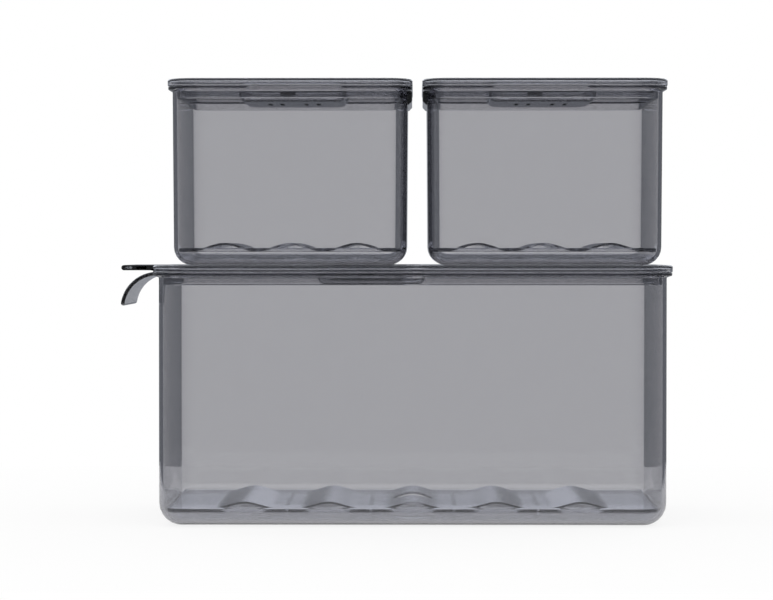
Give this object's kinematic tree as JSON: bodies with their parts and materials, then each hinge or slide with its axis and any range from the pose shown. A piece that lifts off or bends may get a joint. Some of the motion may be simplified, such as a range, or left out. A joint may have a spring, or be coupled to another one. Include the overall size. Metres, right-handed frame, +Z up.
{
  "type": "stacking fridge bin set",
  "caption": "Clear smoke-tinted fridge bins: a long lidded bin with a pull handle carries smaller lidded bins, each with a vent slider and a wavy drain tray.",
  "frame": {"origin": "centre of the long bin's base, on the surface it stands on", "axes": "+X along the long bin, away from its pull handle; +Y to the back; +Z up"},
  "size_m": [0.3562, 0.1676, 0.2852],
  "materials": {
    "clear_smoke": "gloss",
    "clear_smoke_lid": "gloss",
    "clear_smoke_slider": "gloss",
    "clear_smoke_tray": "gloss"
  },
  "bodies": {
    "large_bin": {"large_bin": "clear_smoke"},
    "large_lid": {"large_lid": "clear_smoke_lid"},
    "large_vent_slider": {"large_vent_slider": "clear_smoke_slider"},
    "large_tray": {"large_tray": "clear_smoke_tray"},
    "left_bin": {"left_bin": "clear_smoke"},
    "left_lid": {"left_lid": "clear_smoke_lid"},
    "left_vent_slider": {"left_vent_slider": "clear_smoke_slider"},
    "left_tray": {"left_tray": "clear_smoke_tray"},
    "right_bin": {"right_bin": "clear_smoke"},
    "right_lid": {"right_lid": "clear_smoke_lid"},
    "right_vent_slider": {"right_vent_slider": "clear_smoke_slider"},
    "right_tray": {"right_tray": "clear_smoke_tray"}
  },
  "joints": [
    {"name": "large_lid_lift", "type": "slide", "parent": "large_bin", "child": "large_lid", "axis": [0, 0, 1], "range_m": [0, 0.1]},
    {"name": "large_vent_slide", "type": "slide", "parent": "large_lid", "child": "large_vent_slider", "axis": [1, 0, 0], "range_m": [0, 0.004]},
    {"name": "large_tray_lift", "type": "slide", "parent": "large_bin", "child": "large_tray", "axis": [0, 0, 1], "range_m": [0, 0.1]},
    {"name": "left_bin_lift", "type": "slide", "parent": "large_lid", "child": "left_bin", "axis": [0, 0, 1], "range_m": [0, 0.1]},
    {"name": "left_lid_lift", "type": "slide", "parent": "left_bin", "child": "left_lid", "axis": [0, 0, 1], "range_m": [0, 0.1]},
    {"name": "left_vent_slide", "type": "slide", "parent": "left_lid", "child": "left_vent_slider", "axis": [1, 0, 0], "range_m": [0, 0.004]},
    {"name": "left_tray_lift", "type": "slide", "parent": "left_bin", "child": "left_tray", "axis": [0, 0, 1], "range_m": [0, 0.07]},
    {"name": "right_bin_lift", "type": "slide", "parent": "large_lid", "child": "right_bin", "axis": [0, 0, 1], "range_m": [0, 0.1]},
    {"name": "right_lid_lift", "type": "slide", "parent": "right_bin", "child": "right_lid", "axis": [0, 0, 1], "range_m": [0, 0.1]},
    {"name": "right_vent_slide", "type": "slide", "parent": "right_lid", "child": "right_vent_slider", "axis": [1, 0, 0], "range_m": [0, 0.004]},
    {"name": "right_tray_lift", "type": "slide", "parent": "right_bin", "child": "right_tray", "axis": [0, 0, 1], "range_m": [0, 0.07]}
  ]
}
